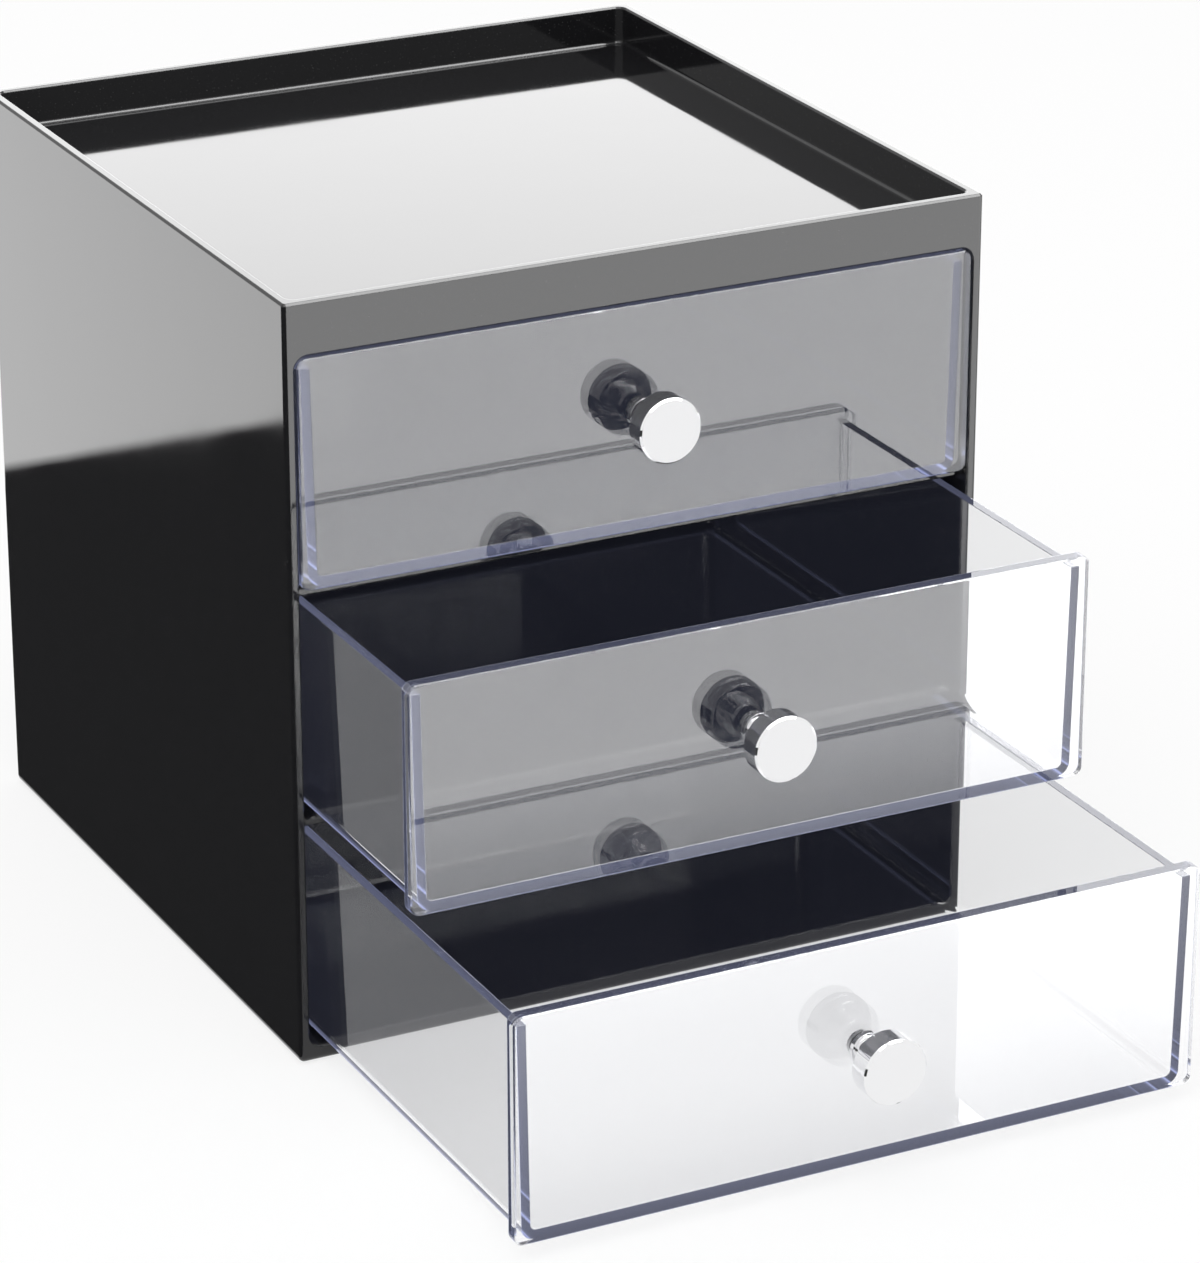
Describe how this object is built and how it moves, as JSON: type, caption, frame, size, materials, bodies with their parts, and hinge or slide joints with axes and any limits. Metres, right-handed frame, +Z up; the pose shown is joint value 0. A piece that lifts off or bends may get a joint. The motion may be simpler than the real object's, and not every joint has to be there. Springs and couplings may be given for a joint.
{
  "type": "acrylic makeup organizer drawers",
  "caption": "Desktop organizer box in glossy black plastic with a tray sunk in its top and sliding clear drawers, each with a round chrome knob.",
  "frame": {"origin": "centre of the case's flat underside", "axes": "+Z up, -Y towards the drawer fronts, +X to the right as seen from the front"},
  "size_m": [0.165, 0.2823, 0.1725],
  "materials": {
    "case_black": "high gloss",
    "drawer_clear": "clear, polished, faint violet-blue in the thickness",
    "knob_chrome": "polished",
    "screw_steel": "zinc plated"
  },
  "bodies": {
    "case": {"case": "case_black"},
    "drawer_top": {"drawer_top": "drawer_clear", "knob_top": "knob_chrome", "knob_screw_top": "screw_steel"},
    "drawer_middle": {"drawer_middle": "drawer_clear", "knob_middle": "knob_chrome", "knob_screw_middle": "screw_steel"},
    "drawer_bottom": {"drawer_bottom": "drawer_clear", "knob_bottom": "knob_chrome", "knob_screw_bottom": "screw_steel"}
  },
  "joints": [
    {"name": "slide_top", "type": "slide", "parent": "case", "child": "drawer_top", "axis": [0, -1, 0], "range_m": [0, 0.125]},
    {"name": "slide_middle", "type": "slide", "parent": "case", "child": "drawer_middle", "axis": [0, -1, 0], "range_m": [-0.052, 0.073]},
    {"name": "slide_bottom", "type": "slide", "parent": "case", "child": "drawer_bottom", "axis": [0, -1, 0], "range_m": [-0.0995, 0.0255]}
  ]
}
